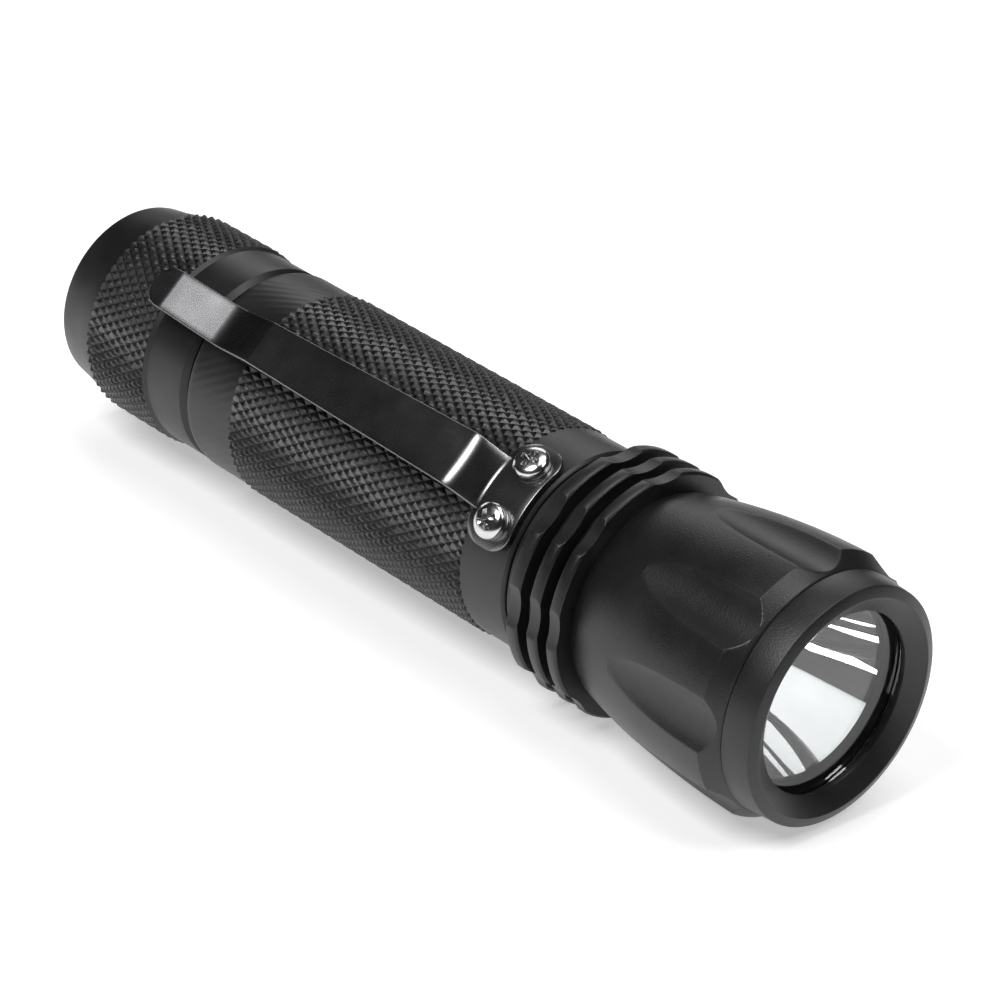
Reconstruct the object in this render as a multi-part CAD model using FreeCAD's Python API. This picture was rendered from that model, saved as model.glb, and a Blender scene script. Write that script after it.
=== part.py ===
"""Tactical flashlight, two lithium cells in line, with a tail push switch and a screwed-on pocket clip.

Millimetres. The axis of the light is X and the beam leaves towards +X. The flat rim of the tailcap is at
x = 0. The clip stands at CLIP_ANGLE about X, counted from +Z towards -Y.
"""

import math
import os

import FreeCAD
import Part

os.makedirs("parts", exist_ok=True)

# ---- driving dimensions -------------------------------------------------------------------------------
CLIP_ANGLE = 45.0  # clip, flutes and scallops share this direction
FLUTES = 8

KNURL_R = 12.70  # crest of the knurl, a one inch grip
BODY_R = 12.45  # plain bands of the body
CAP_R = 12.25  # plain front band of the tailcap

CAP_KNURL = (6.8, 17.2)
CAP_END = 24.4
BODY_START = 25.2
BODY_KNURL = (33.1, 72.1)
BODY_END = 79.2
HEAD_START = 79.25
BEZEL_START = 113.35
HEAD_END = 113.3
FRONT = 117.4

THREAD_R = 10.60  # outside of both tube threads
THREAD_BORE_R = 10.65  # running fit over the tube threads
TUBE_BORE_R = 8.80
TUBE_ENDS = (14.0, 85.0)

RING_R = 0.50  # section of the two body seals
RING_PITCH_R = 11.14
TAIL_SEAL_X = 22.55
HEAD_SEAL_X = 82.35

FIN_R = 14.35
FIN_FLOOR_R = 12.20
FINS = ((81.5, 83.2), (84.7, 86.3), (87.75, 89.3))
FIN_CHAMFER = 0.28
BARREL_R = 15.20

FLUTE_R = 6.80  # radius of the flute cutter
FLUTE_FLOOR = ((81.0, 13.62), (113.4, 14.155))  # bottom of a flute at two stations

BOOT_TOP_X = 0.9
BOOT_RISE = 1.3
BOOT_EDGE_R = 6.4

CELL_R = 8.30
WRAP_R = 8.48
CELL_LENGTH = 33.4
CELL_STARTS = (15.4, 49.6)
TERMINAL_R = 3.2
TERMINAL_HEIGHT = 0.8

LENS_X = (113.0, 114.9)
LENS_R = 11.60
REFLECTOR_FRONT = 112.0
REFLECTOR_RIM_R = 9.7
REFLECTOR_APEX = 94.0
REFLECTOR_K = REFLECTOR_RIM_R ** 2 / (REFLECTOR_FRONT - REFLECTOR_APEX)  # r squared = K (x - apex)

CLIP_T = 0.85
CLIP_SHELL_R = (12.47, 13.33)
CLIP_BASE_X = (72.4, 78.85)
CLIP_BASE_HALF = 6.45
CLIP_SPLIT = 72.0
CLIP_HALF_WIDTH = (3.35, 2.75, 2.50)  # at the foot, at the crease and at the tip
CLIP_TIP_X = 17.7
SCREW_X = 75.9
SCREW_ANGLE = 15.8


# ---- helpers ------------------------------------------------------------------------------------------
def vec(x, r):
    """A point of a turned outline."""
    return FreeCAD.Vector(x, 0, r)


def outline_wire(points):
    """Closed wire in the XZ plane. An entry of four numbers is an arc: a point on it, then its end."""
    edges = []
    start = vec(*points[0][-2:])
    here = start
    for p in list(points[1:]) + [points[0][-2:]]:
        end = vec(*p[-2:])
        if (end - here).Length < 1e-6:
            continue
        if len(p) == 4:
            edges.append(Part.Arc(here, vec(p[0], p[1]), end).toShape())
        else:
            edges.append(Part.makeLine(here, end))
        here = end
    return Part.Wire(edges)


def turned(points):
    """Solid of revolution about the X axis."""
    face = Part.Face(outline_wire(points))
    return face.revolve(FreeCAD.Vector(0, 0, 0), FreeCAD.Vector(1, 0, 0), 360)


def disc(x0, x1, r):
    """Plain cylinder on the X axis."""
    return Part.makeCylinder(r, x1 - x0, FreeCAD.Vector(x0, 0, 0), FreeCAD.Vector(1, 0, 0))


def ring(x0, x1, r_in, r_out):
    """Plain ring on the X axis."""
    return disc(x0, x1, r_out).cut(disc(x0 - 1, x1 + 1, r_in))


def seal(x, pitch_r, section_r):
    """Round-section ring on the X axis."""
    return Part.makeTorus(pitch_r, section_r, FreeCAD.Vector(x, 0, 0), FreeCAD.Vector(1, 0, 0))


def turn_about_x(shape, degrees):
    """The same shape turned about the X axis."""
    other = shape.copy()
    other.rotate(FreeCAD.Vector(0, 0, 0), FreeCAD.Vector(1, 0, 0), degrees)
    return other


def box(x0, x1, half_y, z0, z1):
    """Block that is centred on the XZ plane."""
    return Part.makeBox(x1 - x0, 2 * half_y, z1 - z0, FreeCAD.Vector(x0, -half_y, z0))


def coil(x0, x1, r, wire_r, turns):
    """Compression spring on the X axis."""
    length = x1 - x0 - 2 * wire_r
    helix = Part.makeHelix(length / turns, length, r)
    section = Part.Wire(Part.makeCircle(wire_r, FreeCAD.Vector(r, 0, 0), FreeCAD.Vector(0, 1, 0)))
    spring = Part.Wire(helix.Edges).makePipeShell([section], True, True)
    spring.rotate(FreeCAD.Vector(0, 0, 0), FreeCAD.Vector(0, 1, 0), 90)
    spring.translate(FreeCAD.Vector(x0 + wire_r, 0, 0))
    return spring


def plan_prism(points, z0, z1):
    """Plan outline in x and y, raised between two heights. Four numbers make an arc."""
    edges = []
    here = FreeCAD.Vector(points[0][-2], points[0][-1], z0)
    start = here
    for p in list(points[1:]) + [(start.x, start.y)]:
        end = FreeCAD.Vector(p[-2], p[-1], z0)
        if (end - here).Length < 1e-6:
            continue
        if len(p) == 4:
            edges.append(Part.Arc(here, FreeCAD.Vector(p[0], p[1], z0), end).toShape())
        else:
            edges.append(Part.makeLine(here, end))
        here = end
    return Part.Face(Part.Wire(edges)).extrude(FreeCAD.Vector(0, 0, z1 - z0))


def save(shape, name):
    """Write one node."""
    shape.exportStep("parts/%s.step" % name)


def parabola_r(x, wall=0.0):
    """Radius of the mirror, or of the outside of its wall."""
    return math.sqrt(REFLECTOR_K * (x - REFLECTOR_APEX)) + wall


# ---- tailcap and what it holds ------------------------------------------------------------------------
def make_tailcap():
    shell = turned([
        (0, 7.4), (0, 10.6), (0.18, 11.02, 0.6, 11.2), (CAP_KNURL[0], 12.40), (CAP_KNURL[0] + 0.3, KNURL_R),
        (CAP_KNURL[1] - 0.1, KNURL_R), (CAP_KNURL[1] + 0.55, CAP_R), (CAP_END - 0.65, CAP_R),
        (CAP_END, CAP_R - 0.55), (CAP_END, 11.0), (CAP_END - 0.35, THREAD_BORE_R),
        (TAIL_SEAL_X + 0.55, THREAD_BORE_R), (TAIL_SEAL_X + 0.55, RING_PITCH_R + 0.52),
        (TAIL_SEAL_X - 0.55, RING_PITCH_R + 0.52), (TAIL_SEAL_X - 0.55, THREAD_BORE_R),
        (13.6, THREAD_BORE_R), (13.6, 9.6), (3.4, 9.6), (3.4, 6.9), (0.5, 6.9),
    ])
    return shell


def dome_x(r, offset=0.0):
    """Height of the boot's dome, a ball whose centre is on the axis."""
    ball = (BOOT_EDGE_R ** 2 + BOOT_RISE ** 2) / (2 * BOOT_RISE) - offset
    return BOOT_TOP_X + offset + ball - math.sqrt(ball ** 2 - r ** 2)


def make_boot():
    t = 0.85
    return turned([
        (3.45, 9.4), (3.45, 6.6), (dome_x(BOOT_EDGE_R), BOOT_EDGE_R), (dome_x(3.3), 3.3, BOOT_TOP_X, 0.0),
        (BOOT_TOP_X + t, 0.0), (dome_x(2.8, t), 2.8, dome_x(5.6, t), 5.6), (4.45, 5.8), (4.45, 9.4),
    ])


def make_switch_housing():
    return turned([
        (5.15, 3.3), (5.15, 9.5), (6.2, 9.5), (6.2, 7.2), (10.4, 7.2), (10.4, 0.0), (9.6, 0.0), (9.6, 5.0),
        (6.0, 5.0), (6.0, 3.3),
    ])


def make_switch_button():
    return turned([
        (2.15, 0.0), (2.15, 2.6), (2.5, 3.0), (6.05, 3.0), (6.05, 4.6), (7.0, 4.6), (7.0, 0.0),
    ])


def make_switch_ring():
    body = ring(11.15, 13.4, 7.0, 9.58)
    for side in (-1, 1):
        slot = Part.makeBox(1.2, 1.6, 1.6, FreeCAD.Vector(12.2, side * 8.3 - 0.8, -0.8))
        body = body.cut(slot)
    return body


def make_battery_spring():
    return coil(11.15, 15.1, 4.6, 0.4, 2.2)


# ---- body tube, cells and clip ------------------------------------------------------------------------
def screw_axis(side):
    """Turn, about X, that brings a feature built on +Z to one of the two clip screws."""
    return CLIP_ANGLE + side * SCREW_ANGLE


def make_body():
    tube = turned([
        (TUBE_ENDS[0], TUBE_BORE_R), (TUBE_ENDS[0], THREAD_R - 0.5), (TUBE_ENDS[0] + 0.5, THREAD_R),
        (BODY_START, THREAD_R), (BODY_START, BODY_R - 0.25), (BODY_START + 0.25, BODY_R),
        (BODY_KNURL[0], BODY_R), (BODY_KNURL[0] + 0.25, KNURL_R), (BODY_KNURL[1] - 0.25, KNURL_R),
        (BODY_KNURL[1], BODY_R), (BODY_END - 0.3, BODY_R), (BODY_END, BODY_R - 0.3), (BODY_END, THREAD_R),
        (TUBE_ENDS[1] - 0.5, THREAD_R), (TUBE_ENDS[1], THREAD_R - 0.5), (TUBE_ENDS[1], TUBE_BORE_R),
    ])
    for side in (-1, 1):
        hole = Part.makeCylinder(1.02, 3.2, FreeCAD.Vector(SCREW_X, 0, 9.75), FreeCAD.Vector(0, 0, 1))
        tube = tube.cut(turn_about_x(hole, screw_axis(side)))
    return tube


def make_cell_can(start):
    end = start + CELL_LENGTH
    return turned([
        (start, 0.0), (start, CELL_R - 0.4), (start + 0.12, CELL_R - 0.12, start + 0.4, CELL_R),
        (end - 0.6, CELL_R), (end - 0.18, CELL_R - 0.18, end, CELL_R - 0.6), (end, 0.0),
    ])


def make_cell_wrap(start):
    return ring(start + 0.4, start + CELL_LENGTH - 0.6, CELL_R, WRAP_R)


def make_cell_terminal(start):
    end = start + CELL_LENGTH
    return turned([
        (end, 0.0), (end, TERMINAL_R), (end + 0.6, TERMINAL_R), (end + TERMINAL_HEIGHT, TERMINAL_R - 0.2),
        (end + TERMINAL_HEIGHT, 0.0),
    ])


def riser_height(x):
    """Height of the front face of the clip's riser."""
    return CLIP_SHELL_R[1] + (72.8 - x) * 0.9345


def make_clip_base():
    shell = ring(CLIP_BASE_X[0] - 1, CLIP_BASE_X[1] + 1, *CLIP_SHELL_R)
    x0, x1 = CLIP_BASE_X
    h, c = CLIP_BASE_HALF, 2.5
    k = c * (1 - math.sqrt(0.5))
    plan = plan_prism([
        (x0 + c, -h), (x1 - c, -h), (x1 - k, -h + k, x1, -h + c), (x1, h - c), (x1 - k, h - k, x1 - c, h),
        (x0 + c, h), (x0 + k, h - k, x0, h - c), (x0, -h + c), (x0 + k, -h + k, x0 + c, -h),
    ], 5, 16)
    plate = shell.common(plan)
    foot = Part.Face(outline_wire([
        (CLIP_SPLIT, riser_height(CLIP_SPLIT)), (73.5, riser_height(73.5)), (73.5, 12.45), (72.4, 12.45),
        (CLIP_SPLIT, riser_height(CLIP_SPLIT) - 1.163),
    ]))
    foot = foot.extrude(FreeCAD.Vector(0, 2 * CLIP_HALF_WIDTH[0], 0))
    foot.translate(FreeCAD.Vector(0, -CLIP_HALF_WIDTH[0], 0))
    foot = foot.cut(disc(60, 90, CLIP_SHELL_R[0]))
    plate = plate.fuse(foot).removeSplitter()
    for side in (-1, 1):
        hole = Part.makeCylinder(1.12, 4, FreeCAD.Vector(SCREW_X, 0, 11), FreeCAD.Vector(0, 0, 1))
        plate = plate.cut(turn_about_x(hole, side * SCREW_ANGLE))
    return turn_about_x(plate, CLIP_ANGLE)


def offset_line(a, b, t):
    """Line a-b moved sideways by t, to its left."""
    dx, dz = b[0] - a[0], b[1] - a[1]
    n = math.hypot(dx, dz)
    return (a[0] - dz / n * t, a[1] + dx / n * t), (b[0] - dz / n * t, b[1] + dx / n * t)


def meet(p, q, r, s):
    """Crossing of the lines p-q and r-s."""
    d1 = (q[0] - p[0], q[1] - p[1])
    d2 = (s[0] - r[0], s[1] - r[1])
    k = ((r[0] - p[0]) * d2[1] - (r[1] - p[1]) * d2[0]) / (d1[0] * d2[1] - d1[1] * d2[0])
    return p[0] + d1[0] * k, p[1] + d1[1] * k


def rounded_path(points, radii):
    """Entries for outline_wire: a polyline with an arc at each inner corner."""
    out = [points[0]]
    for a, b, c, r in zip(points, points[1:], points[2:], radii):
        u = ((a[0] - b[0]), (a[1] - b[1]))
        v = ((c[0] - b[0]), (c[1] - b[1]))
        lu, lv = math.hypot(*u), math.hypot(*v)
        u = (u[0] / lu, u[1] / lu)
        v = (v[0] / lv, v[1] / lv)
        half = math.acos(u[0] * v[0] + u[1] * v[1]) / 2
        t = r / math.tan(half)
        m = ((u[0] + v[0]), (u[1] + v[1]))
        lm = math.hypot(*m)
        reach = r / math.sin(half) - r
        mid = (b[0] + m[0] / lm * reach, b[1] + m[1] / lm * reach)
        out.append((b[0] + u[0] * t, b[1] + u[1] * t))
        out.append(mid + (b[0] + v[0] * t, b[1] + v[1] * t))
    out.append(points[-1])
    return out


def make_clip_arm():
    top = [(71.97, riser_height(71.97)), (70.05, riser_height(70.05)), (36.0, 15.9), (29.4, 13.95), (20.4, 16.3),
           (CLIP_TIP_X, 16.42)]
    top_radii = [4.0, 1.3, 5.0, 2.2]
    turns_down = [1, 1, -1, 1]
    lines = [offset_line(a, b, CLIP_T) for a, b in zip(top, top[1:])]
    low = [lines[0][0]] + [meet(*lines[i], *lines[i + 1]) for i in range(len(lines) - 1)] + [lines[-1][1]]
    low[0] = meet(*lines[0], (71.97, 0), (71.97, 1))
    low_radii = [r - s * CLIP_T for r, s in zip(top_radii, turns_down)]
    path = rounded_path(top, top_radii)
    back = rounded_path(low[::-1], low_radii[::-1])
    strip = Part.Face(outline_wire(path + back)).extrude(FreeCAD.Vector(0, 12, 0))
    strip.translate(FreeCAD.Vector(0, -6, 0))
    w0, w1, w2 = CLIP_HALF_WIDTH
    tip, c = CLIP_TIP_X - 0.2, 2.1
    k = c * (1 - math.sqrt(0.5))
    plan = plan_prism([
        (73, -w0), (70, -w0), (36, -w1), (tip + c, -w2), (tip + k, -w2 + k, tip, -w2 + c), (tip, w2 - c),
        (tip + k, w2 - k, tip + c, w2), (36, w1), (70, w0), (73, w0),
    ], 10, 20)
    return turn_about_x(strip.common(plan), CLIP_ANGLE)


def make_screws():
    screws = []
    for side in (-1, 1):
        head = turned([(0, 0), (0, 2.05), (0.75, 2.05), (1.2, 1.6, 1.42, 0.9), (1.5, 0)])
        head.rotate(FreeCAD.Vector(0, 0, 0), FreeCAD.Vector(0, 1, 0), -90)
        head.translate(FreeCAD.Vector(SCREW_X, 0, CLIP_SHELL_R[1]))
        shank = Part.makeCylinder(1.0, 3.3, FreeCAD.Vector(SCREW_X, 0, CLIP_SHELL_R[1] - 3.2),
                                  FreeCAD.Vector(0, 0, 1))
        screw = head.fuse(shank).removeSplitter()
        top = CLIP_SHELL_R[1] + 1.6
        for quarter in (0, 90):
            arm = box(SCREW_X - 1.15, SCREW_X + 1.15, 0.24, top - 1.0, top)
            arm.rotate(FreeCAD.Vector(SCREW_X, 0, 0), FreeCAD.Vector(0, 0, 1), quarter + 20)
            screw = screw.cut(arm)
        screws.append(turn_about_x(screw, screw_axis(side)))
    return Part.makeCompound(screws)


# ---- head and what it holds ---------------------------------------------------------------------------
def make_head():
    outline = [(HEAD_START, THREAD_BORE_R), (HEAD_START, FIN_FLOOR_R - 0.25), (HEAD_START + 0.25, FIN_FLOOR_R)]
    for x0, x1 in FINS:
        c = FIN_CHAMFER
        outline += [(x0, FIN_FLOOR_R), (x0, FIN_R - c), (x0 + c, FIN_R), (x1 - c, FIN_R), (x1, FIN_R - c)]
        if x1 != FINS[-1][1]:
            outline.append((x1, FIN_FLOOR_R))
    outline += [
        (FINS[-1][1], 12.04), (90.35, 12.58), (101.0, 14.52, 111.35, BARREL_R), (HEAD_END, 13.9),
        (HEAD_END, 12.45), (106.5, 12.45), (106.5, 11.0), (94.6, 11.0), (94.6, 9.8), (93.2, 9.8),
        (93.2, THREAD_BORE_R), (HEAD_SEAL_X + 0.55, THREAD_BORE_R), (HEAD_SEAL_X + 0.55, RING_PITCH_R + 0.52),
        (HEAD_SEAL_X - 0.55, RING_PITCH_R + 0.52), (HEAD_SEAL_X - 0.55, THREAD_BORE_R),
    ]
    head = turned(outline)
    (xa, ra), (xb, rb) = FLUTE_FLOOR
    start = FreeCAD.Vector(xa, 0, ra + FLUTE_R)
    along = FreeCAD.Vector(xb - xa, 0, rb - ra)
    cutter = Part.makeCylinder(FLUTE_R, along.Length + 0.5, start, along)
    for i in range(FLUTES):
        head = head.cut(turn_about_x(cutter, CLIP_ANGLE + i * 360.0 / FLUTES))
    return head


def make_bezel():
    return turned([
        (BEZEL_START, 12.4), (BEZEL_START, 13.88), (116.95, 13.62), (FRONT, 12.45), (116.0, 10.4),
        (115.7, 10.4), (115.7, 11.7), (107.0, 11.7), (107.0, 12.4),
    ])


def make_lens():
    x0, x1 = LENS_X
    c = 0.2
    return turned([(x0, 0), (x0, LENS_R - c), (x0 + c, LENS_R), (x1 - c, LENS_R), (x1, LENS_R - c), (x1, 0)])


def make_reflector():
    steps = 10
    x_in = 96.5
    inner = [(x_in + (REFLECTOR_FRONT - x_in) * i / steps) for i in range(steps + 1)]
    mirror = Part.BSplineCurve()
    mirror.interpolate([vec(x, parabola_r(x)) for x in inner])
    flange_x = REFLECTOR_FRONT - 1.0
    neck_x = flange_x - 0.6
    outer = [97.5 + (neck_x - 97.5) * i / steps for i in range(steps + 1)]
    back = Part.BSplineCurve()
    back.interpolate([vec(x, parabola_r(x, 0.9)) for x in reversed(outer)])
    first = vec(x_in, parabola_r(x_in))
    rim = vec(REFLECTOR_FRONT, parabola_r(REFLECTOR_FRONT))
    corners = [rim, vec(REFLECTOR_FRONT, 11.6), vec(flange_x, 11.6), vec(flange_x, parabola_r(neck_x, 0.9)),
               vec(neck_x, parabola_r(neck_x, 0.9))]
    edges = [mirror.toShape()]
    edges += [Part.makeLine(a, b) for a, b in zip(corners, corners[1:])]
    edges.append(back.toShape())
    end = vec(97.5, parabola_r(97.5, 0.9))
    rear = [end, vec(97.5, 5.6), vec(95.4, 5.6), vec(95.4, first.z), first]
    edges += [Part.makeLine(a, b) for a, b in zip(rear, rear[1:])]
    face = Part.Face(Part.Wire(edges))
    return face.revolve(FreeCAD.Vector(0, 0, 0), FreeCAD.Vector(1, 0, 0), 360)


def make_pill():
    pill = turned([
        (85.4, 9.2), (85.4, 10.2), (85.8, THREAD_R), (93.2, THREAD_R), (93.2, 0), (90.6, 0), (90.6, 7.6),
        (87.3, 7.6), (87.3, 9.2),
    ])
    return pill.cut(wire_holes(90, 94))


def wire_holes(x0, x1):
    """Two passages for the lamp wires."""
    tubes = [Part.makeCylinder(0.7, x1 - x0, FreeCAD.Vector(x0, y, 0), FreeCAD.Vector(1, 0, 0))
             for y in (-6.2, 6.2)]
    return Part.makeCompound(tubes)


def make_led_board():
    return disc(93.2, 94.2, 9.0).cut(wire_holes(93, 95))


def make_led_emitter():
    return box(94.2, 94.9, 1.73, -1.73, 1.73)


def make_led_dome():
    ball = Part.makeSphere(1.35, FreeCAD.Vector(94.9, 0, 0))
    return ball.common(disc(94.9, 97, 2))


def make_centring_ring():
    body = turned([(94.2, 0), (94.2, 5.2), (95.35, 5.2), (95.35, 0)])
    return body.cut(box(94, 96, 1.8, -1.8, 1.8))


def make_driver_components():
    parts = [
        Part.makeBox(2.4, 4.4, 4.4, FreeCAD.Vector(87.3, -4.6, 0.4)),
        Part.makeBox(1.3, 3.9, 4.9, FreeCAD.Vector(87.3, 0.9, -2.2)),
        Part.makeBox(1.1, 1.6, 3.2, FreeCAD.Vector(87.3, -3.9, -4.6)),
        Part.makeBox(1.1, 1.6, 3.2, FreeCAD.Vector(87.3, -1.3, -5.4)),
    ]
    return Part.makeCompound(parts)


def make_driver_contact():
    return turned([(84.1, 0), (84.1, 1.6), (84.4, 1.9), (85.7, 1.9), (85.7, 2.9), (86.3, 2.9), (86.3, 0)])


def make_led_wires():
    wires = [Part.makeCylinder(0.45, 7.2, FreeCAD.Vector(87.3, y, 0), FreeCAD.Vector(1, 0, 0))
             for y in (-6.2, 6.2)]
    return Part.makeCompound(wires)


# ---- all nodes ----------------------------------------------------------------------------------------
save(make_tailcap(), "tailcap")
save(seal(TAIL_SEAL_X, RING_PITCH_R, RING_R), "tail_o_ring")
save(make_boot(), "switch_boot")
save(ring(4.5, 5.1, 6.2, 9.5), "boot_washer")
save(make_switch_housing(), "switch_housing")
save(make_switch_button(), "switch_button")
save(coil(7.1, 9.5, 3.1, 0.22, 2.2), "switch_return_spring")
save(disc(10.45, 11.1, 9.5), "switch_board")
save(make_switch_ring(), "switch_retaining_ring")
save(make_battery_spring(), "battery_spring")

save(make_body(), "body_tube")
for where, start in zip(("rear", "front"), CELL_STARTS):
    save(make_cell_can(start), "%s_cell_can" % where)
    save(make_cell_wrap(start), "%s_cell_wrap" % where)
    save(make_cell_terminal(start), "%s_cell_terminal" % where)
save(make_clip_base(), "clip_base")
save(make_clip_arm(), "clip_arm")
save(make_screws(), "clip_screws")

save(seal(HEAD_SEAL_X, RING_PITCH_R, RING_R), "head_o_ring")
save(make_head(), "head")
save(make_bezel(), "bezel_ring")
save(seal(115.3, 11.1, 0.38), "lens_gasket")
save(ring(REFLECTOR_FRONT + 0.03, LENS_X[0] - 0.03, 10.3, 11.6), "lens_seat_ring")
save(make_lens(), "lens")
save(make_reflector(), "reflector")
save(make_centring_ring(), "led_centring_ring")
save(make_led_dome(), "led_dome")
save(make_led_emitter(), "led_emitter")
save(make_led_board(), "led_board")
save(make_pill(), "heat_sink_pill")
save(disc(86.3, 87.3, 9.1), "driver_board")
save(make_driver_components(), "driver_components")
save(make_driver_contact(), "driver_contact")
save(make_led_wires(), "led_wires")
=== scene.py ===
"""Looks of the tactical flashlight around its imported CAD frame.

The row frame is in metres. The making helpers below work in millimetres and scale at the end. Angles
about the axis are counted from +Z towards -Y, as in the part's source.
"""

import math

import bmesh
import bpy
import numpy as np
from mathutils import Matrix, Quaternion, Vector


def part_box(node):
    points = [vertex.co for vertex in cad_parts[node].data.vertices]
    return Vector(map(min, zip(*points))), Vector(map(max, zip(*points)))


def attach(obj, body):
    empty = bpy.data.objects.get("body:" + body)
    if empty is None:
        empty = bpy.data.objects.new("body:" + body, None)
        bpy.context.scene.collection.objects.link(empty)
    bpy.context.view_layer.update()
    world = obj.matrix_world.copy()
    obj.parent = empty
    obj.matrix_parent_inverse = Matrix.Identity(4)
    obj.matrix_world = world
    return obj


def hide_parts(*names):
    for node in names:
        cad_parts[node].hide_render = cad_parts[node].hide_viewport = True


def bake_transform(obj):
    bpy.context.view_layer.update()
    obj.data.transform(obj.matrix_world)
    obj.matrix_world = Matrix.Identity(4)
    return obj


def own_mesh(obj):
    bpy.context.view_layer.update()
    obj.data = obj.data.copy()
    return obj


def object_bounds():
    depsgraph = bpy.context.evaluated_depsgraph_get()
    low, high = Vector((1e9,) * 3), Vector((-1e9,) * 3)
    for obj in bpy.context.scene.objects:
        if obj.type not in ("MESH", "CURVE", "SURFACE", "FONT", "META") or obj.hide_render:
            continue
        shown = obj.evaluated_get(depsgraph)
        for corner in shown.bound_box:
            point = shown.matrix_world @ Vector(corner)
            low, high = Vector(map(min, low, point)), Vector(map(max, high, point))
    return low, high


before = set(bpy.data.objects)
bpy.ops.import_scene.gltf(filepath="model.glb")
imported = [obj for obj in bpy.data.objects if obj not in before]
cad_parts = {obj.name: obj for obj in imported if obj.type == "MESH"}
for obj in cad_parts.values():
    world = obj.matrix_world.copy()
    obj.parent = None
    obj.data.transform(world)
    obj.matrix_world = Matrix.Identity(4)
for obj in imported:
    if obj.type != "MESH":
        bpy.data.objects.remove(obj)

CAD_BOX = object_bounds()
MM = 0.001
CLIP_ANGLE = 45.0

KNURL_R = 12.70
KNURL_DEPTH = 0.36
KNURL_STARTS = 64
KNURL_AXIAL = 0.52  # grooves crossed per millimetre of length
FINE = 3  # mesh steps from a groove to a crest
COLUMNS = 2 * KNURL_STARTS * FINE
STEP = 1 / (2 * KNURL_AXIAL * FINE)

BODY_R = 12.45
CAP_R = 12.25
THREAD_R = 10.60
BORE_R = 10.65
THREAD_DEPTH = 0.50
PITCH = 1.0

rng = np.random.default_rng(11)


def span(node):
    """Where a CAD node starts and ends along the axis, in millimetres."""
    low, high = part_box(node)
    return low[0] / MM, high[0] / MM


CAP_X = span("tailcap")
TUBE_X = span("body_tube")
HEAD_X = span("head")
BEZEL_X = span("bezel_ring")
LENS_X = span("lens")


# ---- materials ----------------------------------------------------------------------------------------
def new_material(name, color, roughness, metallic=0.0, **more):
    """A Principled material and its shader node."""
    mat = bpy.data.materials.new(name)
    mat.use_nodes = True
    shader = mat.node_tree.nodes["Principled BSDF"]
    shader.inputs["Base Color"].default_value = (*color, 1)
    shader.inputs["Roughness"].default_value = roughness
    shader.inputs["Metallic"].default_value = metallic
    for key, value in more.items():
        shader.inputs[key.replace("_", " ")].default_value = value
    return mat, shader


def noise(mat, scale_mm, detail=2.0, stretch=(1, 1, 1)):
    """Noise in the piece's own coordinates, with features of about this size."""
    nodes, links = mat.node_tree.nodes, mat.node_tree.links
    coords = nodes.new("ShaderNodeTexCoord")
    place = nodes.new("ShaderNodeMapping")
    place.inputs["Scale"].default_value = stretch
    tex = nodes.new("ShaderNodeTexNoise")
    tex.inputs["Scale"].default_value = 1 / (scale_mm * MM)
    tex.inputs["Detail"].default_value = detail
    links.new(coords.outputs["Object"], place.inputs["Vector"])
    links.new(place.outputs["Vector"], tex.inputs["Vector"])
    return tex


def ramp(mat, source, low, high, start=0.3, end=0.7):
    """A value or colour that runs from low to high as the source goes from start to end."""
    nodes, links = mat.node_tree.nodes, mat.node_tree.links
    node = nodes.new("ShaderNodeValToRGB")
    node.color_ramp.elements[0].position = start
    node.color_ramp.elements[1].position = end
    for element, value in zip(node.color_ramp.elements, (low, high)):
        element.color = (*value, 1) if isinstance(value, tuple) else (value, value, value, 1)
    links.new(source.outputs["Fac"], node.inputs["Fac"])
    return node


def bump(mat, shader, source, height_mm, strength=1.0):
    """Raise the surface by the source."""
    nodes, links = mat.node_tree.nodes, mat.node_tree.links
    node = nodes.new("ShaderNodeBump")
    node.inputs["Strength"].default_value = strength
    node.inputs["Distance"].default_value = height_mm * MM
    links.new(source.outputs["Fac"], node.inputs["Height"])
    links.new(node.outputs["Normal"], shader.inputs["Normal"])


def surface(name, low, high, rough, grain_mm, grain_height, metallic=0.0, patch_mm=6.0, stretch=(1, 1, 1),
            **more):
    """Worn-in finish: colour and roughness drift over patches, and a fine grain stands on top."""
    mat, shader = new_material(name, low, rough[0], metallic, **more)
    links = mat.node_tree.links
    patches = noise(mat, patch_mm, 3.0)
    links.new(ramp(mat, patches, low, high).outputs["Color"], shader.inputs["Base Color"])
    links.new(ramp(mat, patches, rough[0], rough[1]).outputs["Color"], shader.inputs["Roughness"])
    bump(mat, shader, noise(mat, grain_mm, 3.0, stretch), grain_height)
    return mat


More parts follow.
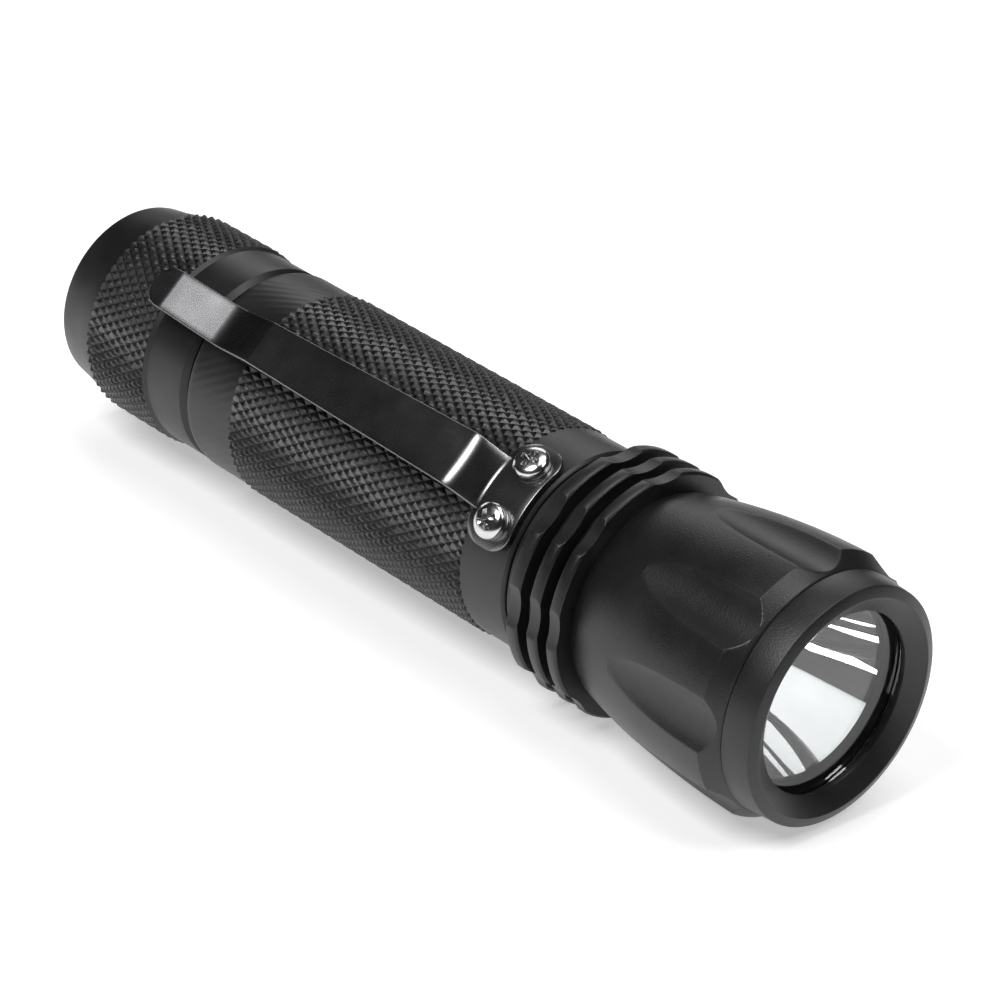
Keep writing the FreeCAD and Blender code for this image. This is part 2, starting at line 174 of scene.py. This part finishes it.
MATERIALS = {
    "anodised": surface("hard_anodised", (0.005, 0.005, 0.0055), (0.009, 0.009, 0.0095), (0.34, 0.42), 0.20,
                        0.030,
                        IOR=1.5),
    "knurl": surface("anodised_knurl", (0.005, 0.005, 0.0055), (0.010, 0.010, 0.0105), (0.36, 0.46), 0.10,
                     0.008,
                     IOR=1.5),
    "clip": surface("black_clip_plating", (0.17, 0.17, 0.175), (0.22, 0.22, 0.225), (0.24, 0.28), 0.25, 0.002,
                    metallic=1.0, stretch=(0.08, 1, 1)),
    "screw": surface("bright_screw", (0.55, 0.55, 0.55), (0.68, 0.68, 0.68), (0.14, 0.24), 0.12, 0.003,
                     metallic=1.0, patch_mm=1.2),
    "rubber": surface("seal_rubber", (0.010, 0.010, 0.010), (0.016, 0.016, 0.016), (0.55, 0.7), 0.3, 0.01),
    "boot": surface("boot_rubber", (0.014, 0.014, 0.015), (0.024, 0.024, 0.025), (0.55, 0.72), 0.22, 0.02),
    "nylon": surface("white_nylon", (0.72, 0.70, 0.64), (0.80, 0.78, 0.72), (0.4, 0.5), 0.4, 0.01),
    "plastic": surface("black_plastic", (0.018, 0.018, 0.020), (0.028, 0.028, 0.03), (0.35, 0.5), 0.3, 0.01),
    "red": surface("red_plastic", (0.42, 0.02, 0.015), (0.52, 0.04, 0.03), (0.35, 0.45), 0.3, 0.01),
    "board": surface("green_board", (0.01, 0.10, 0.03), (0.02, 0.16, 0.05), (0.3, 0.42), 0.5, 0.01),
    "white_board": surface("white_board", (0.70, 0.70, 0.68), (0.78, 0.78, 0.76), (0.35, 0.45), 0.4, 0.01),
    "brass": surface("turned_brass", (0.60, 0.40, 0.14), (0.70, 0.50, 0.20), (0.22, 0.34), 0.2, 0.004,
                     metallic=1.0),
    "gold": surface("gilt_spring", (0.75, 0.55, 0.22), (0.82, 0.64, 0.30), (0.18, 0.3), 0.2, 0.004,
                    metallic=1.0),
    "steel": surface("spring_steel", (0.42, 0.42, 0.42), (0.55, 0.55, 0.55), (0.2, 0.32), 0.2, 0.004,
                     metallic=1.0),
    "can": surface("nickel_can", (0.55, 0.54, 0.51), (0.66, 0.65, 0.62), (0.22, 0.36), 0.4, 0.003,
                   metallic=1.0,
                   stretch=(0.1, 1, 1)),
    "wrap": surface("cell_wrap", (0.02, 0.03, 0.07), (0.03, 0.04, 0.10), (0.14, 0.24), 1.5, 0.01,
                    patch_mm=8.0),
    "pill": surface("turned_aluminium", (0.62, 0.62, 0.63), (0.72, 0.72, 0.73), (0.22, 0.35), 0.12, 0.006,
                    metallic=1.0, stretch=(4, 0.3, 0.3)),
    "wire": surface("wire_sleeve", (0.36, 0.02, 0.015), (0.45, 0.03, 0.02), (0.4, 0.5), 0.5, 0.005),
    "phosphor": surface("lamp_phosphor", (0.75, 0.62, 0.10), (0.85, 0.72, 0.18), (0.5, 0.6), 0.1, 0.004),
    "mirror": surface("reflector_mirror", (0.86, 0.86, 0.87), (0.92, 0.92, 0.93), (0.015, 0.04), 0.8, 0.0012,
                      metallic=1.0, patch_mm=5.0),
}
glass, glass_shader = new_material("coated_glass", (0.97, 0.985, 0.98), 0.0, 0.0, Transmission_Weight=1.0,
                                   IOR=1.45)
bump(glass, glass_shader, noise(glass, 9.0, 1.0), 0.002)
MATERIALS["glass"] = glass
dome, dome_shader = new_material("lamp_dome", (0.97, 0.95, 0.85), 0.03, 0.0, Transmission_Weight=0.9,
                                 IOR=1.41)
bump(dome, dome_shader, noise(dome, 0.6, 1.0), 0.002)
MATERIALS["dome"] = dome


# ---- mesh helpers -------------------------------------------------------------------------------------
def add_piece(name, verts_mm, faces, material, sharp=28.0):
    """A mesh object with smooth faces, sharp where they meet at more than this angle."""
    mesh = bpy.data.meshes.new(name)
    mesh.from_pydata([tuple(v) for v in np.asarray(verts_mm, float) * MM], [], faces)
    obj = bpy.data.objects.new(name, mesh)
    bpy.context.scene.collection.objects.link(obj)
    mesh.materials.append(MATERIALS[material])
    finish_mesh(mesh, sharp)
    return obj


def finish_mesh(mesh, sharp):
    """Outward faces and smooth shading."""
    bm = bmesh.new()
    bm.from_mesh(mesh)
    bmesh.ops.recalc_face_normals(bm, faces=bm.faces)
    bm.to_mesh(mesh)
    bm.free()
    mesh.polygons.foreach_set("use_smooth", [True] * len(mesh.polygons))
    mesh.set_sharp_from_angle(angle=math.radians(sharp))
    mesh.update()


class Ring:
    """One ring of a turned skin: x, radii and angles. lattice is its number in the knurl's grid."""

    def __init__(self, x, r, phi, lattice=None):
        self.phi = phi
        self.x = np.broadcast_to(np.asarray(x, float), phi.shape)
        self.r = np.broadcast_to(np.asarray(r, float), phi.shape)
        self.lattice = lattice

    def points(self):
        return np.column_stack([self.x, -self.r * np.sin(self.phi), self.r * np.cos(self.phi)])


def skin(name, rings, material, closed=True, sharp=28.0):
    """A skin over rings, which all have as many points. A ring of radius 0 becomes a pole."""
    n = len(rings[0].phi)
    verts, starts, faces = [], [], []
    for ring in rings:
        starts.append(len(verts))
        pts = ring.points()
        verts += list(pts[:1] if ring.r.max() < 1e-9 else pts)
    pairs = list(zip(range(len(rings)), range(1, len(rings))))
    if closed:
        pairs.append((len(rings) - 1, 0))
    for i, k in pairs:
        a, b = starts[i], starts[k]
        pole_a, pole_b = rings[i].r.max() < 1e-9, rings[k].r.max() < 1e-9
        if pole_a and pole_b:
            continue
        lattice = rings[i].lattice is not None and rings[k].lattice is not None
        for j in range(n):
            m = (j + 1) % n
            if pole_a:
                faces.append((a, b + m, b + j))
            elif pole_b:
                faces.append((a + j, a + m, b))
            elif not lattice:
                faces.append((a + j, a + m, b + m, b + j))
            elif (rings[i].lattice + j) % 2:
                faces.append((a + j, a + m, b + j))
                faces.append((a + m, b + m, b + j))
            else:
                faces.append((a + j, a + m, b + m))
                faces.append((a + j, b + m, b + j))
    return add_piece(name, verts, faces, material, sharp)


def even(n):
    """n angles round the axis."""
    return np.arange(n) * 2 * math.pi / n


def turned(name, profile, material, n=192, sharp=28.0):
    """A turned piece from its closed outline of (x, r)."""
    phi = even(n)
    return skin(name, [Ring(x, r, phi) for x, r in profile], material, True, sharp)


def corner(before, at, after, r, steps=4):
    """Points of a rounded corner of an outline."""
    a, b, c = (np.array(p, float) for p in (before, at, after))
    u, v = a - b, c - b
    u, v = u / np.linalg.norm(u), v / np.linalg.norm(v)
    half = math.acos(np.clip(np.dot(u, v), -1, 1)) / 2
    t = r / math.tan(half)
    centre = b + (u + v) / np.linalg.norm(u + v) * r / math.sin(half)
    p, q = b + u * t - centre, b + v * t - centre
    a0 = math.atan2(p[1], p[0])
    turn = (math.atan2(q[1], q[0]) - a0 + math.pi) % (2 * math.pi) - math.pi
    return [tuple(centre + r * np.array([math.cos(a0 + turn * k / steps), math.sin(a0 + turn * k / steps)]))
            for k in range(steps + 1)]


def eased(points, radii, steps=4):
    """An open outline with its inner corners rounded. Radius 0 keeps a corner."""
    out = [points[0]]
    for a, b, c, r in zip(points, points[1:], points[2:], radii):
        out += corner(a, b, c, r, steps) if r else [b]
    return out + [points[-1]]


# ---- knurl and thread ---------------------------------------------------------------------------------
PHI = even(COLUMNS)
GROOVE = ([0, 1 / 3, 2 / 3, 1], [0, 0.43, 0.86, 1.0])  # groove flank, from its floor to the crest


def groove_height(cycles):
    """0 at the floor of a groove and 1 at a crest."""
    return np.interp(np.abs(cycles - np.round(cycles)) * 2, *GROOVE)


def crossings(x, hand):
    """Grooves of one hand counted round the piece and along it."""
    return KNURL_STARTS * PHI / (2 * math.pi) + hand * KNURL_AXIAL * x


def knurl_rings(start, end):
    """Rings of a diamond knurl."""
    rings = []
    for i in range(int(round((end - start) / STEP)) + 1):
        x = i * STEP
        height = np.minimum(groove_height(crossings(x, 1)), groove_height(crossings(x, -1)))
        scatter = rng.uniform(-0.012, 0.004, COLUMNS)
        rings.append(Ring(start + x, KNURL_R + scatter - KNURL_DEPTH * (1 - height), PHI, i))
    return rings


def ghost_rings(start, knurl_start, r, depth):
    """Plain band on which the first pass of the knurling tool left faint lines of one hand."""
    count = int((knurl_start - start) / STEP)
    rings = []
    for i in range(count, 0, -1):
        x = -i * STEP
        height = groove_height(crossings(x, 1))
        rings.append(Ring(knurl_start + x, r - depth * (1 - height), PHI, i))
    return rings


def thread_rings(start, end, r, inward, step=0.125):
    """Rings of a right-hand thread, cut inward from a tube or outward from a bore, fading at both ends."""
    rings = []
    for x in np.arange(start, end + 1e-6, step):
        t = (x / PITCH - PHI / (2 * math.pi)) % 1.0
        cut = np.interp(np.abs(t - 0.5) * 2, [0, 0.12, 0.80, 1.0], [1, 1, 0, 0])
        fade = min(1.0, (x - start) / 0.6, (end - x) / 0.6)
        rings.append(Ring(x, r + (-1 if inward else 1) * THREAD_DEPTH * cut * fade, PHI))
    return rings


def plain(points):
    """Rings with the knurl's columns."""
    return [Ring(x, r, PHI) for x, r in points]


# ---- tailcap ------------------------------------------------------------------------------------------
KNURL_CAP = (6.8, 17.1)
x1 = CAP_X[1]
rings = plain([(0.0, 7.4), (0.0, 9.0)] + corner((0, 9), (0, 11.15), (6.7, 12.38), 0.75, 6))
rings += plain([(2.5, 11.54), (4.5, 11.94), (6.5, 12.33), (6.72, 12.36)])
rings += knurl_rings(*KNURL_CAP)
rings += plain([(17.22, 12.55), (17.75, CAP_R), (17.95, CAP_R), (20.5, CAP_R)])
rings += plain(eased([(22.0, CAP_R), (x1 - 0.68, CAP_R), (x1, CAP_R - 0.62), (x1, 11.0), (x1 - 0.35, BORE_R)],
                     [0.12, 0.06, 0.1]))
rings += plain([(23.1, BORE_R), (23.1, 11.66), (22.0, 11.66), (22.0, BORE_R)])
rings += thread_rings(14.4, 21.5, BORE_R, False)[::-1]
rings += plain([(13.6, BORE_R), (13.6, 9.6), (3.4, 9.6), (3.4, 6.9), (0.55, 6.9), (0.12, 7.25)])
tailcap = skin("tailcap_shell", rings, "knurl")
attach(tailcap, "tailcap")
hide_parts("tailcap")

BOOT = 0.85


def dome_x(r, offset=0.0):
    """Height of the boot's dome at a radius."""
    top = span("switch_boot")[0]
    ball = (6.4 ** 2 + 1.3 ** 2) / 2.6 - offset
    return top + offset + ball - math.sqrt(ball ** 2 - r ** 2)


steps = np.linspace(0, 1, 9)
outer = [(dome_x(6.2 * t), 6.2 * t) for t in steps]
outer += corner((dome_x(6.2), 6.2), (2.15, 6.48), (3.45, 6.6), 0.22, 4) + [(3.45, 6.6), (3.45, 9.4)]
inner = [(4.45, 9.4), (4.45, 5.8), (dome_x(5.6, BOOT), 5.6)] + [(dome_x(5.6 * t, BOOT),
                                                                 5.6 * t) for t in steps[-2::-1]]
boot = turned("boot_cover", outer + inner, "boot", 128)
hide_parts("switch_boot")
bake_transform(boot)

# ---- body tube ----------------------------------------------------------------------------------------
KNURL_BODY = (33.1, 72.1)
x0, x1 = TUBE_X
rings = plain([(x0, 8.8), (x0, 9.9), (x0 + 0.4, 10.35)])
rings += thread_rings(x0 + 0.5, 21.6, THREAD_R, True)
rings += plain([(21.8, THREAD_R), (24.6, THREAD_R), (25.2, THREAD_R), (25.2, 12.1), (25.32, 12.35)])
rings += ghost_rings(25.5, KNURL_BODY[0], BODY_R, 0.03)
rings += plain([(KNURL_BODY[0] - 0.03, BODY_R)])
rings += knurl_rings(*KNURL_BODY)
rings += plain([(72.2, BODY_R), (72.6, BODY_R), (75.5, BODY_R), (78.8, BODY_R), (79.1, 12.25), (79.2, 12.1),
                (79.2, THREAD_R)])
rings += thread_rings(79.7, 84.7, THREAD_R, True)
rings += plain([(x1, 10.1), (x1, 8.8), (50.0, 8.8)])
body = skin("body_shell", rings, "knurl")
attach(body, "body")
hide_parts("body_tube")

# ---- head ---------------------------------------------------------------------------------------------
FLUTE_R = 6.8
FIN_R, FIN_FLOOR = 14.35, 12.20
LAND_X = 111.35


def flute_axis(x):
    """Distance of the flute cutter's own axis from the light's axis."""
    return 13.62 + (x - 81.0) * (14.155 - 13.62) / (113.4 - 81.0) + FLUTE_R


def barrel_r(x):
    """Turned outline of the barrel and its front slope."""
    if x > LAND_X:
        return 15.2 - (x - LAND_X) / (HEAD_X[1] - LAND_X) * 1.3
    return 15.2 - (112.0 - x) ** 2 / 177.0


def flute_edge(x, r):
    """Half the angle of a flute where it meets the turned outline, or 0 where it misses."""
    c = flute_axis(x)
    cosine = (r * r + c * c - FLUTE_R ** 2) / (2 * r * c)
    return math.degrees(math.acos(cosine)) if cosine < 1 else 0.0


def head_ring(x, r, spare):
    """A ring of the head with columns on both edges of all flutes. spare is the edge angle where none cuts."""
    edge = flute_edge(x, r)
    e = max(edge, 0.02) if edge else spare
    d = min(0.45, e / 4)
    half = np.concatenate([[0], np.linspace(0, e - d, 8)[1:], [e], np.linspace(e + d, 22.5, 8)])
    offsets = np.concatenate([-half[:0:-1], half[:-1]])
    c = flute_axis(x)
    radii = np.full(offsets.shape, float(r))
    if edge:
        a = np.radians(np.clip(offsets, -e, e))
        cut = c * np.cos(a) - np.sqrt(np.maximum(FLUTE_R ** 2 - (c * np.sin(a)) ** 2, 0))
        radii = np.where(np.abs(offsets) <= e, np.minimum(cut, r), r)
        radii = np.where(np.isclose(np.abs(offsets), e), radii - min(0.02, d * 0.04), radii)
    phi = np.concatenate([np.radians(CLIP_ANGLE + 45.0 * k + offsets) for k in range(8)])
    return Ring(x, np.tile(radii, 8), phi)


FIN_SPARE = 9.0
x0 = HEAD_X[0]
outline = [(x0, 10.65), (x0, FIN_FLOOR - 0.3), (x0 + 0.3, FIN_FLOOR), (80.6, FIN_FLOOR)]
for a, b in ((81.5, 83.2), (84.7, 86.3), (87.75, 89.3)):
    outline += [(a - 0.12, FIN_FLOOR), (a, FIN_FLOOR + 0.12), (a, FIN_R - 0.26)]
    outline += [(a + 0.03, FIN_R - 0.21), (a + 0.21, FIN_R - 0.03), (a + 0.28, FIN_R)]
    outline += [(b - 0.28, FIN_R), (b - 0.21, FIN_R - 0.03), (b - 0.03, FIN_R - 0.21), (b, FIN_R - 0.26)]
    outline += [(b, FIN_FLOOR + 0.12 if b < 89 else 12.04)]
    if b < 89:
        outline.append((b + 0.12, FIN_FLOOR))
outline += [(89.5, 12.1), (90.2, 12.46), (90.4, 12.58)]
rings = [head_ring(x, r, FIN_SPARE) for x, r in outline]
xs = np.concatenate([np.arange(90.9, 96.0, 0.5), np.arange(96.0, 99.0, 0.1), np.arange(99.0, 111.0, 0.35),
                     [111.0, 111.2, 111.3]])
for x in xs:
    rings.append(head_ring(x, barrel_r(x), float(np.interp(x, [90.4, 96.3], [FIN_SPARE, 0.3]))))
for x, r in corner((111.0, 15.195), (LAND_X, 15.2), (HEAD_X[1], 13.9), 0.25, 4):
    rings.append(head_ring(x, r, 0.3))
for x in np.concatenate([np.arange(111.7, 112.6, 0.15), np.arange(112.6, 113.0, 0.04), [113.1, 113.2]]):
    rings.append(head_ring(x, barrel_r(x), 0.3))
flat_phi = rings[0].phi
x1 = HEAD_X[1]
inner = [(x1, 13.8), (x1, 12.45), (106.5, 12.45), (106.5, 11.0), (94.6, 11.0), (94.6, 9.8), (93.2, 9.8),
         (93.2, BORE_R),
         (82.9, BORE_R), (82.9, 11.66), (81.8, 11.66), (81.8, BORE_R)]
rings += [Ring(x, r, rings[-1].phi if x > 110 else flat_phi) for x, r in inner]
head = skin("head_shell", rings, "anodised")
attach(head, "head")
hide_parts("head")

x0, x1 = 113.35, BEZEL_X[1]
profile = eased([(x0, 12.4), (x0, 13.88), (116.95, 13.62), (x1, 12.45), (116.0, 10.4), (115.7, 10.4),
                 (115.7, 11.7)],
                [0.10, 0.16, 0.12, 0.08, 0.0], 4)
bezel = turned("bezel_shell", profile + [(107.0, 11.7), (107.0, 12.4)], "anodised", 256)
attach(bezel, "head")
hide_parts("bezel_ring")

# ---- lens and reflector -------------------------------------------------------------------------------
x0, x1 = LENS_X
profile = [(x0, 0), (x0, 5.8), (x0, 11.4), (x0 + 0.2, 11.6), (x1 - 0.2, 11.6), (x1, 11.4), (x1, 5.8), (x1, 0)]
window = turned("window", profile, "glass", 192)
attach(window, "head")
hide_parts("lens")

REFLECTOR_X = span("reflector")
APEX = 94.0
RIM_R = 9.7
K = RIM_R ** 2 / (REFLECTOR_X[1] - APEX)


def bowl_r(x, wall=0.0):
    """Radius of the mirror's parabola."""
    return math.sqrt(K * (x - APEX)) + wall


radii = np.linspace(bowl_r(96.5), RIM_R, 64)
mirror_line = [(APEX + r * r / K, r) for r in radii]
rim_x = REFLECTOR_X[1]
back_line = [(x, bowl_r(x, 0.9)) for x in np.linspace(rim_x - 1.6, 97.5, 24)]
profile = mirror_line + [(rim_x, RIM_R + 0.2), (rim_x, 11.6), (rim_x - 1.0, 11.6),
                         (rim_x - 1.0, back_line[0][1])]
profile += back_line + [(97.5, 5.6), (95.4, 5.6), (95.4, mirror_line[0][1])]
reflector = turned("reflector_bowl", profile, "mirror", 256)
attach(reflector, "head")
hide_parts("reflector")

# ---- pocket clip --------------------------------------------------------------------------------------
CLIP_T = 0.85
CLIP_R = (12.47, 13.33)
EASE = 0.16


def strip_section(half, t, pieces=8):
    """Section of a sheet strip: (across, height), with eased edges."""
    e = min(EASE, half * 0.4)
    arc = [(1 - math.sin(a), 1 - math.cos(a)) for a in (0, math.pi / 6, math.pi / 3, math.pi / 2)]
    top = [(y, 0.0) for y in np.linspace(-half + e, half - e, pieces + 1)[1:-1]]
    right = [(half - e * u, -e * v) for u, v in arc]
    angles = (0, math.pi / 6, math.pi / 3, math.pi / 2)
    low_right = [(half - e * (1 - math.cos(a)), -t + e * (1 - math.sin(a))) for a in angles]
    low = [(y, -t) for y in np.linspace(half - e, -half + e, pieces + 1)[1:-1]]
    low_left = [(-y, h) for y, h in low_right[::-1]]
    left = [(-y, h) for y, h in right[::-1]]
    return top + right + low_right + low + low_left + left


def sweep(stations, verts, faces):
    """Adds a closed strip. A station is (centre of the top, across, up, half width, sag of the edges)."""
    start = len(verts)
    loops = []
    for centre, across, up, half, sag in stations:
        loop = []
        for y, h in strip_section(half, CLIP_T):
            drop = sag * (CLIP_R[1] - math.sqrt(CLIP_R[1] ** 2 - y * y)) if sag else 0.0
            loop.append(np.asarray(centre) + np.asarray(across) * y + np.asarray(up) * h
                        - np.array([0, 0, 1.0]) * drop)
        loops.append(loop)
    n = len(loops[0])
    for loop in loops:
        verts += loop
    for i in range(len(loops) - 1):
        for j in range(n):
            m = (j + 1) % n
            a, b = start + i * n, start + (i + 1) * n
            faces.append((a + j, a + m, b + m, b + j))
    faces.append(tuple(range(start, start + n)))
    faces.append(tuple(range(start + (len(loops) - 1) * n, start + len(loops) * n)))


TOP = [(74.4, 13.33), (72.8, 13.33), (70.05, 15.9), (36.0, 15.9), (29.4, 13.95), (20.4, 16.3), (17.5, 16.43)]
line = eased(TOP, [0.9, 2.6, 1.3, 5.0, 2.4], 10)
path = [np.array(line[0])]
for p in line[1:]:
    p = np.array(p)
    gap = np.linalg.norm(p - path[-1])
    for k in range(1, max(1, int(gap / 1.6)) + 1):
        path.append(path[-1] + (p - path[-1]) * (1 / (max(1, int(gap / 1.6)) - k + 1)))
TIP_X, TIP_R = 17.5, 2.1
tip = [TIP_X + TIP_R * (1 - math.cos(a)) for a in np.linspace(0, math.pi / 2, 9)]
heights = np.array(path)
order = np.argsort(heights[:, 0])
keep = [p for p in path if p[0] > TIP_X + TIP_R + 0.05]
keep += [np.array([x, np.interp(x, heights[order, 0], heights[order, 1])]) for x in tip[::-1]]
stations = []
for i, p in enumerate(keep):
    q, s = keep[max(i - 1, 0)], keep[min(i + 1, len(keep) - 1)]
    along = (s - q) / np.linalg.norm(s - q)
    up = np.array([along[1], 0, -along[0]])
    up = up if up[2] > 0 else -up
    half = float(np.interp(p[0], [TIP_X, 36.0, 70.0], [2.5, 2.75, 3.35]))
    d = p[0] - TIP_X
    if d < TIP_R:
        half += -TIP_R + math.sqrt(max(TIP_R ** 2 - (TIP_R - d) ** 2, 0))
    sag = float(np.interp(p[0], [69.5, 72.6], [0.0, 1.0]))
    stations.append(((p[0], 0, p[1]), (0, 1, 0), up, half, sag))
clip_verts, clip_faces = [], []
sweep(stations, clip_verts, clip_faces)
EAR_R, PLATE = 2.5, (72.4, 78.85)
half_angle = math.asin(6.45 / CLIP_R[1])
ends = [half_angle - EAR_R * (1 - math.cos(a)) / CLIP_R[1] for a in np.linspace(0, math.pi / 2, 9)]
angles = [-a for a in ends] + list(np.linspace(-ends[-1], ends[-1], 24))[1:-1] + ends[::-1]
stations = []
for a in angles:
    d = (half_angle - abs(a)) * CLIP_R[1]
    half = (PLATE[1] - PLATE[0]) / 2
    if d < EAR_R:
        half += -EAR_R + math.sqrt(max(EAR_R ** 2 - (EAR_R - d) ** 2, 0))
    up = (0, -math.sin(a), math.cos(a))
    centre = (sum(PLATE) / 2, -CLIP_R[1] * math.sin(a), CLIP_R[1] * math.cos(a))
    stations.append((centre, (1, 0, 0), up, half, 0.0))
sweep(stations, clip_verts, clip_faces)
clip = add_piece("pocket_clip", clip_verts, clip_faces, "clip", 34)
clip.data.transform(Matrix.Rotation(math.radians(CLIP_ANGLE), 4, "X"))
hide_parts("clip_base", "clip_arm")
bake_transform(clip)


# ---- clip screws --------------------------------------------------------------------------------------
def box_cutter(length, width, depth, top):
    """A block whose flanks lean inwards as they go down."""
    verts = []
    for z, grow in ((top, 1.0), (top - depth, 0.55)):
        for x, y in ((-1, -1), (1, -1), (1, 1), (-1, 1)):
            verts.append((x * length / 2 * grow, y * width / 2 * (0.6 + 0.4 * grow), z))
    faces = [(0, 1, 2, 3), (7, 6, 5, 4), (0, 4, 5, 1), (1, 5, 6, 2), (2, 6, 7, 3), (3, 7, 4, 0)]
    return verts, faces


def settled(obj):
    """The object's mesh with its modifiers applied."""
    graph = bpy.context.evaluated_depsgraph_get()
    mesh = bpy.data.meshes.new_from_object(obj.evaluated_get(graph))
    obj.modifiers.clear()
    obj.data = mesh
    return obj


def make_screw(name, side):
    """Pan-head screw with a cross recess."""
    dome = [(0.0, 1.0), (0.0, 2.0), (0.10, 2.05), (0.70, 2.05)]
    dome += [(0.70 + 0.80 * math.sin(t), 2.05 * math.cos(t) ** 0.72) for t in np.linspace(0.12, 1.50, 12)]
    profile = [(-3.1, 0.0), (-3.1, 0.8), (-2.9, 1.0)] + dome + [(1.5, 0.0)]
    screw = turned(name, profile, "screw", 64, 30)
    screw.data.transform(Matrix.Rotation(math.radians(-90), 4, "Y"))
    for quarter in (0, 90):
        verts, faces = box_cutter(2.5, 0.62, 1.05, 1.62)
        cutter = add_piece(name + "_cut", verts, faces, "screw")
        cutter.data.transform(Matrix.Rotation(math.radians(quarter + 20 + side * 17), 4, "Z"))
        cut = screw.modifiers.new("recess", "BOOLEAN")
        cut.object = cutter
        cut.solver = "EXACT"
        settled(screw)
        bpy.data.objects.remove(cutter)
    soften = screw.modifiers.new("soft_edges", "BEVEL")
    soften.width = 0.045 * MM
    soften.segments = 2
    soften.limit_method = "ANGLE"
    soften.angle_limit = math.radians(40)
    settled(screw)
    finish_mesh(screw.data, 30)
    x = sum(span("clip_screws")) / 2 * MM
    screw.data.transform(Matrix.Translation((x, 0, CLIP_R[1] * MM)))
    screw.data.transform(Matrix.Rotation(math.radians(CLIP_ANGLE + side * 15.8), 4, "X"))
    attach(screw, "body")
    return screw


screws = [make_screw("clip_screw_%s" % word, side) for word, side in (("lower", 1), ("upper", -1))]
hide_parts("clip_screws")

# ---- carried-over CAD nodes ---------------------------------------------------------------------------
PAINT = {
    "tail_o_ring": "rubber", "head_o_ring": "rubber", "lens_gasket": "rubber", "lens_seat_ring": "rubber",
    "boot_washer": "nylon",
    "switch_housing": "plastic", "switch_button": "red", "switch_return_spring": "steel",
    "switch_board": "board",
    "switch_retaining_ring": "brass", "battery_spring": "gold", "rear_cell_can": "can",
    "front_cell_can": "can",
    "rear_cell_wrap": "wrap", "front_cell_wrap": "wrap", "rear_cell_terminal": "can",
    "front_cell_terminal": "can",
    "led_centring_ring": "plastic", "led_dome": "dome", "led_emitter": "phosphor", "led_board": "white_board",
    "heat_sink_pill": "pill", "driver_board": "board", "driver_components": "plastic",
    "driver_contact": "brass",
    "led_wires": "wire",
}
for node, material in PAINT.items():
    for material_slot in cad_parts[node].material_slots:
        material_slot.material = MATERIALS[material]
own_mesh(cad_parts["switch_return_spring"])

# ---- camera, floor and light --------------------------------------------------------------------------
CAMERA_AT = (0.344896, -0.279033, 0.207166)
CAMERA_TO = (0.064845, 0.000054, 0.000773)
CAMERA_ROLL = 5.43
camera_data = bpy.data.cameras.new("camera")
camera_data.lens = 145.9
camera_data.sensor_width = 36
camera_data.clip_start = 0.01
camera = bpy.data.objects.new("camera", camera_data)
bpy.context.scene.collection.objects.link(camera)
camera.location = CAMERA_AT
look = (Vector(CAMERA_TO) - Vector(CAMERA_AT)).to_track_quat("-Z", "Y")
camera.rotation_mode = "QUATERNION"
camera.rotation_quaternion = look @ Quaternion((0, 0, 1), math.radians(CAMERA_ROLL))
bpy.context.scene.camera = camera

FLOOR_GLOW = 0.45  # keeps the floor white where little light falls
FLOOR_HALF = 2
floor_mat = surface("studio_floor", (0.80, 0.80, 0.80), (0.83, 0.83, 0.83), (0.6, 0.7), 2.0, 0.01,
                    patch_mm=60.0)
floor_mesh = bpy.data.meshes.new("studio_floor")
low_z = CAD_BOX[0][2]
floor_corners = [(x * FLOOR_HALF, y * FLOOR_HALF, low_z) for x, y in ((-1, -1), (1, -1), (1, 1), (-1, 1))]
floor_mesh.from_pydata(floor_corners, [], [(0, 1, 2, 3)])
floor_shader = floor_mat.node_tree.nodes["Principled BSDF"]
floor_shader.inputs["Emission Color"].default_value = (1, 1, 1, 1)
floor_shader.inputs["Emission Strength"].default_value = FLOOR_GLOW
floor_mesh.materials.append(floor_mat)
floor = bpy.data.objects.new("studio_floor", floor_mesh)
bpy.context.scene.collection.objects.link(floor)


def softbox(name, at, to, size, power, color=(1, 1, 1)):
    """Rectangular soft light."""
    data = bpy.data.lights.new(name, "AREA")
    data.shape = "RECTANGLE"
    data.size, data.size_y = size
    data.energy = power
    data.color = color
    light = bpy.data.objects.new(name, data)
    bpy.context.scene.collection.objects.link(light)
    light.location = at
    light.rotation_euler = (Vector(to) - Vector(at)).to_track_quat("-Z", "Y").to_euler()
    return light


MIDDLE = (0.06, 0, 0)  # where the lights point
WORLD_STRENGTH = 0.025
softbox("key_box", (0.05, -0.37, 0.50), MIDDLE, (0.26, 0.26), 2.6)
softbox("top_box", (0.12, 0.12, 0.75), MIDDLE, (0.50, 0.50), 2.2)
softbox("front_box", (0.42, 0.10, 0.50), MIDDLE, (0.20, 0.20), 0.9)
softbox("back_box", (-0.33, 0.40, 0.35), MIDDLE, (0.40, 0.30), 0.7)
world = bpy.data.worlds.new("studio")
bpy.context.scene.world = world
world.use_nodes = True
world.node_tree.nodes["Background"].inputs["Color"].default_value = (1, 1, 1, 1)
world.node_tree.nodes["Background"].inputs["Strength"].default_value = WORLD_STRENGTH
bpy.context.scene.view_settings.view_transform = "Standard"
